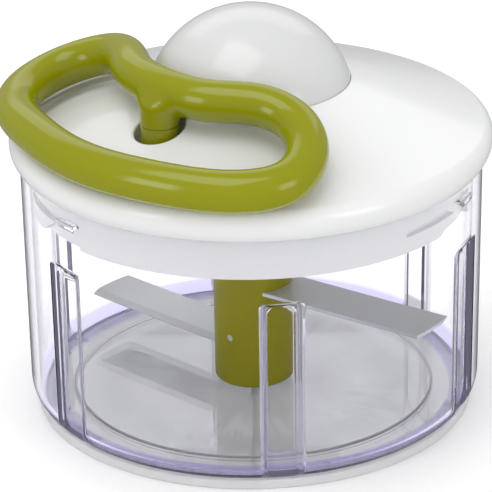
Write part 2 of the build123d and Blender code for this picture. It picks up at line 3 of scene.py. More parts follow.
import bmesh
import bpy
import numpy as np
from mathutils import Euler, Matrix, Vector


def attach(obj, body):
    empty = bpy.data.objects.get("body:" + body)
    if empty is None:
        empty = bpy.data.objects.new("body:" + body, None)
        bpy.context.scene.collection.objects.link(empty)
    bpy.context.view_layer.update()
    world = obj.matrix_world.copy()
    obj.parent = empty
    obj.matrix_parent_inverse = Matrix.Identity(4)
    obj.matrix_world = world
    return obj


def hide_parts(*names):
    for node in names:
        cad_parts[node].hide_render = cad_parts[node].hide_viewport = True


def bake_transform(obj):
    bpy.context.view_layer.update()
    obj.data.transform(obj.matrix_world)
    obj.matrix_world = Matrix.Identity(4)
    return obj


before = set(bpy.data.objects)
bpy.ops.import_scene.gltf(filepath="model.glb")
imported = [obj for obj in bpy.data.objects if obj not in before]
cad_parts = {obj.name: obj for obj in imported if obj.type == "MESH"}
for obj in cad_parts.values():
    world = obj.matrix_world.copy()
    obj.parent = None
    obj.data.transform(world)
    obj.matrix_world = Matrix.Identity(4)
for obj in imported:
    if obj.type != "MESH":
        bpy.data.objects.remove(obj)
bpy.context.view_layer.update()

# Sizes are millimetres, the same values as the solids; meshes are written in metres.
MM = 0.001
PHOTO = 492
TURN = 2 * math.pi

# The number of flutes and the angle of the first, in degrees, for the bowl and its material.
FLUTES, FLUTE_ANGLE = 6, -83.3

# ------------------------------------------------------------------ camera
CAM_BACK, CAM_UP = 894.0, 449.4
CAM_TILT = 0.4198
CAM_ROLL = -0.0161
LENS = 223.63
SHIFT = -6.62 / PHOTO

cam_data = bpy.data.cameras.new("camera")
cam_data.sensor_width = 36
cam_data.lens = LENS
cam_data.shift_x = SHIFT
cam_data.clip_end = 20
camera = bpy.data.objects.new("camera", cam_data)
bpy.context.scene.collection.objects.link(camera)
camera.location = (0, -CAM_BACK * MM, CAM_UP * MM)
camera.rotation_mode = "QUATERNION"
tilt = Euler((math.pi / 2 - CAM_TILT, 0, 0)).to_quaternion()
camera.rotation_quaternion = tilt @ Euler((0, 0, CAM_ROLL)).to_quaternion()
bpy.context.scene.camera = camera


# ------------------------------------------------------------------ numpy helpers
def step(a, b, x):
    """Smooth rise from 0 at a to 1 at b: 3t^2 - 2t^3 of the clipped share t."""
    t = np.clip((x - a) / (b - a), 0, 1)
    return t * t * (3 - 2 * t)


def crowded(a, b, count, places=(), width=1.0, gain=12.0):
    """count values from a to b that lie closer together near places: the running sum of
    1 + gain * bell(distance / width), read backwards at even shares."""
    x = np.linspace(a, b, 4000)
    w = np.ones_like(x)
    for p in places:
        w += gain * np.exp(-((x - p) / width) ** 2)
    total = np.concatenate([[0], np.cumsum((w[1:] + w[:-1]) / 2)])
    return np.interp(np.linspace(0, total[-1], count), total, x)


def rounded(corners, closed=False, pieces=7):
    """Outline through (a, b, radius) corners, each replaced by the arc that touches both sides."""
    pts = np.array([c[:2] for c in corners], float)
    out = []
    n = len(corners)
    for i, (_, _, r) in enumerate(corners):
        p = pts[i]
        if r == 0 or (not closed and i in (0, n - 1)):
            out.append(p[None])
            continue
        u = pts[i - 1] - p
        v = pts[(i + 1) % n] - p
        u, v = u / np.hypot(*u), v / np.hypot(*v)
        half = math.acos(np.clip(u @ v, -1, 1)) / 2
        reach = r / math.tan(half)
        mid = (u + v) / np.hypot(*(u + v))
        centre = p + mid * r / math.sin(half)
        a = p + u * reach - centre
        b = p + v * reach - centre
        turn = math.acos(np.clip(a @ b / (r * r), -1, 1))
        t = np.linspace(0, 1, pieces)[:, None]
        out.append(centre + (np.sin((1 - t) * turn) * a + np.sin(t * turn) * b) / math.sin(turn))
    return np.concatenate(out)


def filled(path, longest):
    """The same outline with extra points so that no run is longer than longest."""
    parts = [path[:1]]
    for a, b in zip(path[:-1], path[1:]):
        n = max(1, int(math.ceil(np.hypot(*(b - a)) / longest)))
        parts.append(a + (b - a) * (np.arange(1, n + 1) / n)[:, None])
    return np.concatenate(parts)


def grid_faces(rows, cols, wrap_rows, wrap_cols):
    """Quads of a grid of rows x cols points, row-major, wrapping round where asked."""
    i = np.arange(rows if wrap_rows else rows - 1)
    j = np.arange(cols if wrap_cols else cols - 1)
    i, j = np.meshgrid(i, j, indexing="ij")
    a, b = i * cols + j, i * cols + (j + 1) % cols
    c, d = ((i + 1) % rows) * cols + (j + 1) % cols, ((i + 1) % rows) * cols + j
    return np.stack([a, b, c, d], -1).reshape(-1, 4)


def around(count):
    """count angles at even shares of a full turn, from 0."""
    return np.arange(count) * TURN / count


def round_tube(line, side, up, radius, count):
    """Rings along a centreline: each of its points plus radius * (side cos t + up sin t)."""
    t = around(count)[None, :, None]
    return line[:, None] + radius * (side[:, None] * np.cos(t) + up[:, None] * np.sin(t))


def mesh_piece(name, points, faces, body, material, flats=False):
    """A smooth mesh object from an (n, 3) array in millimetres and an (m, 4) array of quads. Points
    that coincide are merged, which closes seams and poles; flats keeps flat faces looking flat. A
    piece given no body is left unattached."""
    me = bpy.data.meshes.new(name)
    me.from_pydata((points * MM).tolist(), [], faces.tolist())
    me.update()
    bm = bmesh.new()
    bm.from_mesh(me)
    bmesh.ops.remove_doubles(bm, verts=bm.verts, dist=1e-7)
    bmesh.ops.dissolve_degenerate(bm, edges=bm.edges, dist=1e-8)
    bmesh.ops.recalc_face_normals(bm, faces=bm.faces)
    bm.to_mesh(me)
    bm.free()
    me.polygons.foreach_set("use_smooth", np.ones(len(me.polygons), bool))
    me.update()
    ob = bpy.data.objects.new(name, me)
    bpy.context.scene.collection.objects.link(ob)
    if flats:
        ob.modifiers.new("flats", "WEIGHTED_NORMAL").weight = 90
    me.materials.append(material)
    if body:
        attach(ob, body)
    return ob


def turned(name, profile, body, material, count):
    """Surface of revolution: each (r, z) of the profile becomes the circle (r cos t, r sin t, z)."""
    t = around(count)
    r, z = profile[:, :1], profile[:, 1:]
    pts = np.stack([r * np.cos(t), r * np.sin(t), z + 0 * t], -1)
    faces = grid_faces(len(profile), count, False, True)
    return mesh_piece(name, pts.reshape(-1, 3), faces, body, material, flats=True)


# ------------------------------------------------------------------ shader helper
class Nodes:
    """The nodes of one material or world. add() makes one from its type, its settings and the values
    or links of its sockets, named with underscores for spaces, or i0, i1 for a socket's number."""

    def __init__(self, name, kind="materials"):
        self.material = getattr(bpy.data, kind).new(name)
        self.material.use_nodes = True
        self.tree = self.material.node_tree
        self.tree.nodes.clear()

    def add(self, kind, settings=None, output=0, **sockets):
        node = self.tree.nodes.new(kind)
        for key, value in (settings or {}).items():
            if key == "stops":
                ramp = node.color_ramp
                while len(ramp.elements) < len(value):
                    ramp.elements.new(0.5)
                for element, (place, colour) in zip(ramp.elements, value):
                    element.position = place
                    element.color = (*colour, 1)
            else:
                setattr(node, key, value)
        for key, value in sockets.items():
            numbered = key[0] == "i" and key[1:].isdigit()
            slot = node.inputs[int(key[1:]) if numbered else key.replace("_", " ")]
            if isinstance(value, Value):
                self.tree.links.new(value.socket, slot)
            elif isinstance(value, tuple) and slot.type == "RGBA":
                slot.default_value = (*value, 1)
            else:
                slot.default_value = value
        return Value(self, node.outputs[output])

    def math(self, operation, a, b=0.0):
        """One Math node on two values."""
        return self.add("ShaderNodeMath", {"operation": operation}, i0=a, i1=b)

    def place(self):
        """The point in the object's own coordinates, in metres."""
        return self.add("ShaderNodeTexCoord", output=3)

    def noise(self, scale, detail=3.0, rough=0.5, where=None):
        where = where or self.place()
        return self.add("ShaderNodeTexNoise", Vector=where, Scale=scale, Detail=detail, Roughness=rough)

    def mix(self, share, a, b):
        """Colour a where share is 0 and b where it is 1."""
        return self.add("ShaderNodeMix", {"data_type": "RGBA"}, 2, Factor=share, i6=a, i7=b)

    def bump(self, height, depth, strength=1.0):
        return self.add("ShaderNodeBump", Height=height, Distance=depth, Strength=strength)

    def surface(self, **sockets):
        """Finishes the material with one Principled shader."""
        shader = self.add("ShaderNodeBsdfPrincipled", **sockets)
        out = self.tree.nodes.new("ShaderNodeOutputMaterial")
        self.tree.links.new(shader.socket, out.inputs["Surface"])
        return self.material


class Value:
    """A node's output; arithmetic on it adds Math nodes."""

    def __init__(self, nodes, socket):
        self.nodes, self.socket = nodes, socket

    def _math(self, operation, a, b):
        return self.nodes.math(operation, a, b)

    def __add__(self, other):
        return self._math("ADD", self, other)

    __radd__ = __add__

    def __sub__(self, other):
        return self._math("SUBTRACT", self, other)

    def __rsub__(self, other):
        return self._math("SUBTRACT", other, self)

    def __mul__(self, other):
        return self._math("MULTIPLY", self, other)

    __rmul__ = __mul__

    def __gt__(self, other):
        return self._math("GREATER_THAN", self, other)

    def __lt__(self, other):
        return self._math("LESS_THAN", self, other)


# ------------------------------------------------------------------ finishes
def white_gloss(name, dark, light):
    """Glossy white moulded plastic with faint flow and a fine orange-peel skin."""
    n = Nodes(name)
    flow = n.noise(9.0, 2.0)
    skin = n.noise(420.0, 2.0)
    tone = n.mix(flow, dark, light)
    return n.surface(
        Base_Color=tone, Roughness=0.17 + 0.06 * flow, IOR=1.5, Coat_Weight=0.2, Coat_Roughness=0.06,
        Normal=n.bump(skin, 0.00002, 0.25), Subsurface_Weight=0.05, Subsurface_Scale=0.004,
    )


def green_gloss():
    """Glossy yellow-green moulded plastic."""
    n = Nodes("green_gloss_plastic")
    flow = n.noise(14.0, 3.0)
    skin = n.noise(500.0, 2.0)
    tone = n.mix(flow, (0.255, 0.268, 0.0), (0.285, 0.293, 0.0))
    return n.surface(
        Base_Color=tone, Roughness=0.12 + 0.06 * flow, IOR=1.5,
        Normal=n.bump(skin, 0.00002, 0.15),
    )


def olive_satin():
    """Satin olive plastic of the hub, with faint moulding streaks."""
    n = Nodes("olive_hub_plastic")
    flow = n.noise(30.0, 3.0)
    tone = n.mix(flow, (0.250, 0.230, 0.0), (0.285, 0.265, 0.0))
    return n.surface(
        Base_Color=tone, Roughness=0.33 + 0.1 * flow, IOR=1.48, Specular_IOR_Level=0.2,
        Normal=n.bump(n.noise(700.0), 0.00002, 0.3),
    )


# Regions of the bowl, in metres: its outer wall, the violet corner at its foot, the height of the
# flutes' flanks and heels, which get painted light, and the edge of the floor's disc. Across a flute,
# the flanks are given as shares of the flutes' spacing.
WALL_FROM, FOOT_TOP, FLANK_TOP = 0.0635, 0.0085, 0.063
HEEL_FROM, HEEL_TO = 0.0035, 0.0125
RING_IN, RING_OUT = 0.0569, 0.0579
FLANK_FROM, FLANK_TO = 0.060, 0.090


def clear_plastic():
    """Clear moulded plastic with a faint ripple. Long light paths turn violet, and so does the thick
    corner round the foot. Its tint is painted darker and faintly violet where the surface is seen at a
    low angle: painted shade for the dark edges of the walls. Violet-grey painted light lies on the
    steep flanks and heels of the flutes, near-black painted shade on the walls seen edge on, and pale
    grey on a ring at the edge of the floor's disc."""
    n = Nodes("clear_bowl_plastic")
    ripple = n.noise(18.0, 1.0)
    facing = n.add("ShaderNodeLayerWeight", output=1, Blend=0.5)
    x, y, z = (n.add("ShaderNodeSeparateXYZ", output=k, Vector=n.place()) for k in range(3))
    out_sq = x * x + y * y
    wall = out_sq > WALL_FROM ** 2
    foot = wall * (z < FOOT_TOP)
    disc_edge = (out_sq > RING_IN ** 2) * (out_sq < RING_OUT ** 2)
    # Painted shade: the glass's tint darkens as the surface turns edge on, for the dark edges of the walls.
    grazing_shade_tint = n.add("ShaderNodeValToRGB", {"stops": [
        (0.0, (0.995, 0.995, 1.0)), (0.60, (0.99, 0.99, 0.993)),
        (0.80, (0.90, 0.90, 0.92)), (0.93, (0.45, 0.44, 0.50)),
    ]}, Fac=facing + 0.02 * ripple)
    glass = n.add(
        "ShaderNodeBsdfPrincipled", Base_Color=n.mix(foot, grazing_shade_tint, (0.73, 0.70, 0.94)),
        Roughness=0.01 * ripple, IOR=1.40, Transmission_Weight=1.0, Specular_Tint=(0.15, 0.15, 0.17),
        Normal=n.bump(ripple, 0.0001, 0.08),
    )
    turn = n.math("ARCTAN2", y, x) * (FLUTES / TURN) + (0.5 - FLUTE_ANGLE * FLUTES / 360)
    across = n.math("ABSOLUTE", n.math("FRACT", turn) - 0.5)
    # Painted light: the flanks and heels of the flutes get violet-grey in a diffuse layer.
    side = (across > FLANK_FROM) * (z < FLANK_TOP)
    heel = (z > HEEL_FROM) * (z < HEEL_TO)
    flank_painted_light = wall * (across < FLANK_TO) * n.math("MAXIMUM", side, heel)
    # Painted shade: near-black in the same layer on walls seen edge on; a pale grey ring lies on the floor
    # disc's edge.
    edge_on_shade = n.add("ShaderNodeMapRange", Value=facing, i1=0.82, i2=0.94, i3=0.0, i4=0.7)
    painted_shade_and_light_colour = n.mix(disc_edge, n.mix(flank_painted_light, (0.06, 0.06, 0.08), (0.50, 0.48, 0.66)), (0.80, 0.80, 0.82))
    painted_shade_and_light = n.add("ShaderNodeBsdfPrincipled", Roughness=0.4, Base_Color=painted_shade_and_light_colour)
    share = n.math("MAXIMUM", edge_on_shade, 0.30 * flank_painted_light + 0.5 * disc_edge)
    both = n.add("ShaderNodeMixShader", i0=share, i1=glass, i2=painted_shade_and_light)
    out = n.tree.nodes.new("ShaderNodeOutputMaterial")
    n.tree.links.new(both.socket, out.inputs["Surface"])
    body = n.add("ShaderNodeVolumeAbsorption", Color=(0.55, 0.53, 0.80), Density=20.0)
    n.tree.links.new(body.socket, out.inputs["Volume"])
    return n.material


def soft_pad():
    """Milky soft plastic of the pad."""
    n = Nodes("milky_soft_plastic")
    grain = n.noise(260.0, 4.0)
    tone = n.mix(grain, (0.84, 0.84, 0.85), (0.89, 0.89, 0.90))
    return n.surface(
        Base_Color=tone, Roughness=0.38 + 0.12 * grain, IOR=1.45, Transmission_Weight=0.6,
        Normal=n.bump(grain, 0.00004, 0.35),
    )


def blade_steel():
    """Ground stainless steel with fine grinding lines along the blade."""
    n = Nodes("ground_steel")
    where = n.add("ShaderNodeMapping", Vector=n.place(), Scale=(60.0, 60.0, 900.0))
    lines = n.noise(18.0, 5.0, 0.7, where)
    blotch = n.noise(40.0, 2.0)
    tone = n.mix(blotch, (0.60, 0.61, 0.62), (0.66, 0.67, 0.68))
    return n.surface(
        Base_Color=tone, Metallic=0.75, Roughness=0.48 + 0.12 * lines,
        Normal=n.bump(lines, 0.00002, 0.4),
    )


def plain_plastic(name, dark, light, rough):
    """Satin plastic of an inner part, with a slight grain."""
    n = Nodes(name)
    grain = n.noise(120.0, 4.0)
    return n.surface(
        Base_Color=n.mix(grain, dark, light), Roughness=rough + 0.12 * grain, IOR=1.46,
        Normal=n.bump(grain, 0.00004, 0.3),
    )


def braided_cord():
    """Pale braided cord, with slanting strands."""
    n = Nodes("braided_cord")
    wave = n.add("ShaderNodeTexWave", {"wave_type": "BANDS", "bands_direction": "DIAGONAL"}, 1,
                 Vector=n.place(), Scale=900.0, Distortion=1.0)
    tone = n.mix(wave, (0.52, 0.52, 0.50), (0.78, 0.78, 0.75))
    return n.surface(Base_Color=tone, Roughness=0.7 + 0.1 * wave, Normal=n.bump(wave, 0.0002, 0.6))


WHITE = white_gloss("white_gloss_plastic", (0.82, 0.825, 0.83), (0.85, 0.85, 0.85))
# Painted shade: the dome's copy of the same white plastic is made darker.
DOME_SHADED_WHITE = white_gloss("white_plastic_painted_shade", (0.68, 0.685, 0.69), (0.71, 0.71, 0.71))
# Painted light: the skirt's copy of the same white plastic is made lighter, as it sits in shade behind the
# bowl.
SKIRT_LIT_WHITE = white_gloss("white_plastic_painted_light", (0.92, 0.92, 0.925), (0.94, 0.94, 0.94))
GREEN = green_gloss()
OLIVE = olive_satin()
CLEAR = clear_plastic()
PAD = soft_pad()
STEEL = blade_steel()
GREY = plain_plastic("grey_inner_plastic", (0.30, 0.30, 0.31), (0.36, 0.36, 0.37), 0.4)
PALE = plain_plastic("pale_bearing_plastic", (0.62, 0.62, 0.58), (0.70, 0.70, 0.66), 0.35)
SEAL = plain_plastic("soft_seal", (0.58, 0.58, 0.60), (0.66, 0.66, 0.68), 0.5)
CORD = braided_cord()

finish = [
    (CLEAR, "bowl"), (PAD, "base_pad"), (SEAL, "lid_seal"), (WHITE, "lid_cover drive_socket"),
    (DOME_SHADED_WHITE, "dome_cap"), (SKIRT_LIT_WHITE, "lid_base"), (GREEN, "handle handle_plug"), (OLIVE, "blade_hub"),
    (GREY, "spring_housing spring_housing_lid cord_reel"),
    (PALE, "reel_washer drive_bush cord_bush guide_roller hub_bushing"),
    (CORD, "cord_lead cord_winding cord_knot"),
    (STEEL, "bowl_pivot_pin lid_screws housing_screws reel_axle roller_axle power_spring drive_screw"
            " bushing_pin lower_blade upper_blade"),
]
for material, names in finish:
    for node_name in names.split():
        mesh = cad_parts[node_name].data
        mesh.materials.clear()
        mesh.materials.append(material)


# ------------------------------------------------------------------ bowl
BOWL_R, CORNER_Z, CORNER_R, DRAFT = 72.4, 10.0, 8.0, 0.0085
WALL, FLOOR, INNER_CORNER = 2.6, 2.6, 5.0
PAD_FLOOR, RIM_Z, RIM_EDGE = 2.0, 86.0, 0.6
DISC_R, DISC_H = 57.3, 0.6
FLUTE_TOP, FLUTE_WALL = 63.0, 1.9
POCKET_HALF, POCKET_DEPTH, POCKET_CORNER = 6.65, 1.3, 0.9
GROOVE_HALF, GROOVE_DEPTH, GROOVE_TOP, GROOVE_ARCH = 4.65, 1.2, 62.0, 3.0
BACK_DEPTH = POCKET_DEPTH + GROOVE_DEPTH + FLUTE_WALL
BACK_FLANK, BACK_CORNER = BACK_DEPTH - WALL, 1.5
LUG_ANGLE, LUG_HALF, LUG_Z0, LUG_Z1, LUG_REACH, LUG_SLANT = -143.3, 4.8, 76.5, 78.2, 2.4, 0.7
BOSS_R, BOSS_TOP, PIN_R = 7.0, 8.7, 4.0
FLOOR_TOP = PAD_FLOOR + FLOOR
# Rows of the bowl nearer the axis than this are plain circles.
WALL_ONLY = 60.0


def box_edge(across, up, half, top, corner):
    """Signed distance inside a tall rounded rectangle that is open below; positive inside."""
    qx = np.abs(across) - (half - corner)
    qy = up - (top - corner)
    outside = np.hypot(np.maximum(qx, 0), np.maximum(qy, 0))
    inside = np.minimum(np.maximum(qx, qy), 0)
    return corner - outside - inside


def wall_r(z):
    """Radius of the drafted outer wall at height z."""
    return BOWL_R + DRAFT * (z - CORNER_Z)


def bowl_profile():
    """The bowl's section as (r, z) rows: up the outside to the middle of the rim, and from there
    down the inside and over the floor, its raised disc and the boss to the centre."""
    rim_r = wall_r(RIM_Z)
    foot = rounded([(0, PAD_FLOOR, 0), (wall_r(PAD_FLOOR), PAD_FLOOR, CORNER_R), (rim_r, RIM_Z, 0)], pieces=14)
    z_up = crowded(CORNER_Z + 1, RIM_Z - 1, 58, (FLUTE_TOP, GROOVE_TOP - 1), 1.2, 14)
    rim = rounded([(rim_r, RIM_Z - 2, 0), (rim_r, RIM_Z, RIM_EDGE), (rim_r - WALL, RIM_Z, RIM_EDGE),
                   (rim_r - WALL - 0.02, RIM_Z - 2, 0)], pieces=6)[1:-1]
    half = len(rim) // 2
    z_down = crowded(RIM_Z - 1, FLOOR_TOP + INNER_CORNER + 0.6, 70, (LUG_Z1, LUG_Z0, FLUTE_TOP + 1), 1.0, 14)
    in_r = wall_r(FLOOR_TOP) - WALL
    floor = rounded([
        (in_r + 0.05, 20, 0), (in_r, FLOOR_TOP, INNER_CORNER), (DISC_R + 0.5, FLOOR_TOP, 0.5),
        (DISC_R, FLOOR_TOP + DISC_H, 0.35), (BOSS_R + 0.3, FLOOR_TOP + DISC_H, 0.3),
        (BOSS_R, BOSS_TOP, 0.4), (PIN_R, BOSS_TOP, 0.1), (PIN_R, FLOOR_TOP, 0), (0, FLOOR_TOP, 0),
    ], pieces=9)[1:]
    outside = [filled(foot[:-1], 8.0), np.stack([wall_r(z_up), z_up], -1), rim[:half]]
    inside = [rim[half:], np.stack([wall_r(z_down) - WALL, z_down], -1), filled(floor, 6.0)]
    return np.concatenate(outside), np.concatenate(inside)


def bowl_surface():
    """Closed shell: the section's rows turned round the axis. A row's radius at each angle is the
    least of the drafted wall's and, in a flute, of the flat pocket's and the arched groove's; the
    inside has a flat back with sloping flanks behind each flute, and the lugs."""
    flute_at = (FLUTE_ANGLE + np.arange(FLUTES) * 360 / FLUTES) * math.pi / 180
    edges = np.concatenate([flute_at + s * e / BOWL_R for s in (-1, 1) for e in (GROOVE_HALF, POCKET_HALF)])
    start = flute_at[0] - math.pi / FLUTES
    angle = crowded(start, start + TURN, 409, np.mod(edges - start, TURN) + start, 0.011, 9)[:-1]
    near = flute_at[np.argmin(np.abs(np.mod(angle[:, None] - flute_at + math.pi, TURN) - math.pi), 1)]
    off = np.mod(angle - near + math.pi, TURN) - math.pi
    across = off * BOWL_R
    third = TURN / 3
    from_lug = np.mod(near - math.radians(LUG_ANGLE) + 1e-6 + third / 2, third) - third / 2
    lug_here = np.abs(from_lug) < 0.01

    def flat(z, depth):
        """Radius at each angle of a flat face set depth inside the wall."""
        return (wall_r(z) - depth) / np.cos(off)

    def outside(r, z):
        """Radius at each angle of a row of the outside."""
        if r <= WALL_ONLY:
            return r + 0 * across
        pocket = step(-0.35, 0.35, box_edge(across, z, POCKET_HALF, FLUTE_TOP, POCKET_CORNER))
        groove = step(-0.45, 0.45, box_edge(across, z, GROOVE_HALF, GROOVE_TOP, GROOVE_ARCH))
        return np.minimum(r, wall_r(z) - pocket * (wall_r(z) - flat(z, POCKET_DEPTH)) - groove * GROOVE_DEPTH)

    def inside(r, z):
        """Radius at each angle of a row of the inside."""
        if r < WALL_ONLY:
            return r + 0 * across
        reach = box_edge(across, z, GROOVE_HALF + BACK_FLANK, FLUTE_TOP, BACK_CORNER)
        wall = wall_r(z) - WALL
        back = wall - step(0.0, BACK_FLANK + 0.3, reach) * (wall - flat(z, BACK_DEPTH))
        body = np.minimum(r, back) if z > FLOOR_TOP + 1 else r + 0 * across
        slant = LUG_HALF - 1.0 + across - LUG_SLANT * (LUG_Z0 - z + 1.0)
        level = np.minimum(z - LUG_Z0, LUG_Z1 - z) + 0 * across
        depth = np.minimum.reduce([level, LUG_HALF - across, slant])
        return body - lug_here * LUG_REACH * step(-0.15, 0.25, depth)

    out_line, in_line = bowl_profile()
    z = np.concatenate([out_line, in_line])[:, 1:]
    r = np.array([outside(*row) for row in out_line] + [inside(*row) for row in in_line])
    return np.stack([r * np.cos(angle), r * np.sin(angle), z + 0 * r], -1)


grid = bowl_surface()
bowl = mesh_piece("clear_bowl", grid.reshape(-1, 3), grid_faces(*grid.shape[:2], False, True),
                  "bowl", CLEAR)
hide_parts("bowl")

# ------------------------------------------------------------------ pad
PAD_R, PAD_LIP_TOP, PAD_LIP, PAD_EDGE = 70.2, 3.0, 1.5, 0.7
PAD_TOP = PAD_FLOOR - 0.03
pad_line = rounded([
    (0, 0, 0), (PAD_R, 0, PAD_EDGE), (PAD_R, PAD_LIP_TOP, PAD_EDGE), (PAD_R - PAD_LIP, PAD_LIP_TOP, 0.5),
    (PAD_R - PAD_LIP - 0.2, PAD_TOP, 0.2), (0, PAD_TOP, 0),
])
pad = turned("base_pad_soft", filled(pad_line, 12.0), "bowl", PAD, 240)
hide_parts("base_pad")

# ------------------------------------------------------------------ lid
APEX, SLOPE = 119.36, 0.3426
LID_R, LID_Z, SHOULDER, FLARE, LIP_Z, LIP_IN = 76.2, 89.9, 4.76, 7.35, 84.6, 73.35
COVER_V, INNER_STEP_R, INNER_TOP = 2.54, 71.4, 90.0
HANDLE_ANGLE = math.radians(-133.8)
RECESS = [
    (66.5, 14.0, 40.0), (58.5, 35.5, 34.0), (45.5, 54.6, 8.0),
    (21.0, 53.3, 12.0), (14.5, 37.5, 7.0), (34.5, 8.0, 14.0),
]
RECESS_DEPTH = 2.0
RECESS_BOX = (8, 72, 60)
STEM_AT, SLEEVE_R, SLEEVE_OUT, SLEEVE_FLOOR, SLEEVE_END = 39.9, 8.0, 9.6, 95.6, 94.0
HOLE_EDGE, HOLE_REACH = 0.7, 11.0
DOME_R, DOME_Z, DOME_BASE_R, DOME_INNER_R = 33.2, 98.1, 31.4, 31.0
DOME_BASE, DOME_REST, DOME_END, DOME_HOLLOW_R = 108.6, 107.4, 103.4, 28.4
COLLAR_IN, COLLAR_R, COLLAR_TOP = 28.65, 29.85, 108.0
SEAT_R, SEAT_IN = DOME_BASE_R + 0.15, 30.0


def to_plan(u, v):
    """Lid plan (x, y) of a point given along and across the handle's axis of symmetry."""
    c, s = math.cos(HANDLE_ANGLE), math.sin(HANDLE_ANGLE)
    return u * c - v * s, u * s + v * c


def recess_depth(x, y):
    """How far the lid's top lies below its cone: a smooth step across the recess's outline, from
    the distance to the nearest of its points and the side of the outline the point is on."""
    line = rounded(RECESS + [(u, -v, r) for u, v, r in reversed(RECESS)], closed=True, pieces=14)
    line = filled(np.concatenate([line, line[:1]]), 1.2)
    c, s = math.cos(HANDLE_ANGLE), math.sin(HANDLE_ANGLE)
    u, v = x * c + y * s, -x * s + y * c
    depth = np.zeros_like(u)
    near = (u > RECESS_BOX[0]) & (u < RECESS_BOX[1]) & (np.abs(v) < RECESS_BOX[2])
    p = np.stack([u[near], v[near]], -1)
    a, b = line[:-1], line[1:]
    ab = b - a
    best = np.full(len(p), 1e9)
    inside = np.zeros(len(p), bool)
    for k in range(len(a)):
        t = np.clip(((p - a[k]) @ ab[k]) / (ab[k] @ ab[k]), 0, 1)
        best = np.minimum(best, np.hypot(*(p - a[k] - t[:, None] * ab[k]).T))
        crosses = (a[k, 1] > p[:, 1]) != (b[k, 1] > p[:, 1])
        where = a[k, 0] + (p[:, 1] - a[k, 1]) / (ab[k, 1] if ab[k, 1] else 1e-9) * ab[k, 0]
        inside ^= crosses & (p[:, 0] < where)
    signed = np.where(inside, best, -best)
    depth[near] = RECESS_DEPTH * step(-0.6, 1.6, signed)
    return depth


def lid_top(x, y):
    """Height of the lid's conical top with its recess."""
    return APEX - SLOPE * np.hypot(x, y) - recess_depth(x, y)


def cone(r, drop=0.0):
    """Points (r, z) on the lid's cone, drop below it."""
    return np.stack([r, APEX - SLOPE * r - drop], -1)


def cover_surface():
    """Closed shell round the dome's seat: the top goes out along the cone and round the shoulder
    and the flared rim, and the underside comes back. Returns its grid of points, the radii of the
    top's rows and the first row of the underside."""
    lean = math.atan(SLOPE)
    shoulder = LID_R - SHOULDER
    r_top = crowded(SEAT_R + 0.35, shoulder + SHOULDER * math.sin(lean), 92)
    t = np.linspace(math.pi / 2 - lean, 0, 14)[1:, None]
    bend = np.concatenate([shoulder + SHOULDER * np.cos(t), LID_Z + SHOULDER * np.sin(t)], -1)
    t = np.linspace(0, -math.asin((LID_Z - LIP_Z) / FLARE), 12)[1:, None]
    flare = np.concatenate([LID_R - FLARE + FLARE * np.cos(t), LID_Z + FLARE * np.sin(t)], -1)
    lip = [(LIP_IN + 0.15, LIP_Z - 0.02), (LIP_IN, LIP_Z + 0.1), (LIP_IN, INNER_TOP - 2), (LIP_IN, INNER_TOP),
           tuple(cone(INNER_STEP_R, COVER_V))]
    seat = [(SEAT_IN, DOME_REST - 0.2), (SEAT_IN, DOME_REST), (SEAT_R - 0.02, DOME_REST),
            (SEAT_R, DOME_REST + 0.1), tuple(cone(SEAT_R, 0.3))]
    parts = [cone(r_top), bend, flare, lip, cone(r_top[::-1][4:], COVER_V), seat]
    profile = np.concatenate(parts)
    angle = around(440)
    r = profile[:, :1]
    x, y = r * np.cos(angle), r * np.sin(angle)
    z = profile[:, 1:] - recess_depth(x, y) * (r < LIP_IN - 0.35) * (r > SEAT_R)
    return np.stack([x, y, z], -1), r_top, sum(map(len, parts[:4]))


def stem_patch(points, rows, cols, radius, lift):
    """Ring of the lid's skin between a window's border and the stem's hole: straight lines in plan
    from each border point to the circle, with the height of the lid's top plus lift."""
    (i0, i1), (j0, j1) = rows, cols
    cx, cy = to_plan(STEM_AT, 0)
    ring = np.concatenate([
        points[i0, j0:j1], points[i0:i1, j1], points[i1, j1:j0:-1], points[i1:i0:-1, j0],
    ])
    turn = np.arctan2(ring[:, 1] - cy, ring[:, 0] - cx)
    circle = np.stack([cx + radius * np.cos(turn), cy + radius * np.sin(turn)], -1)
    t = np.linspace(0, 1, 9)[:, None, None]
    plan = ring[None, :, :2] * (1 - t) + circle[None] * t
    z = lid_top(plan[..., 0], plan[..., 1]) + lift
    z[0] = ring[:, 2]
    return np.concatenate([plan, z[..., None]], -1)


def hole_tube(edge, rows, floor):
    """Rings under a patch's inner edge, one for each radius, drop and share of the height above
    floor."""
    cx, cy = to_plan(STEM_AT, 0)
    turn = np.arctan2(edge[:, 1] - cy, edge[:, 0] - cx)
    return np.array([np.column_stack([
        cx + r * np.cos(turn), cy + r * np.sin(turn), floor + (edge[:, 2] - drop - floor) * share,
    ]) for r, drop, share in rows])


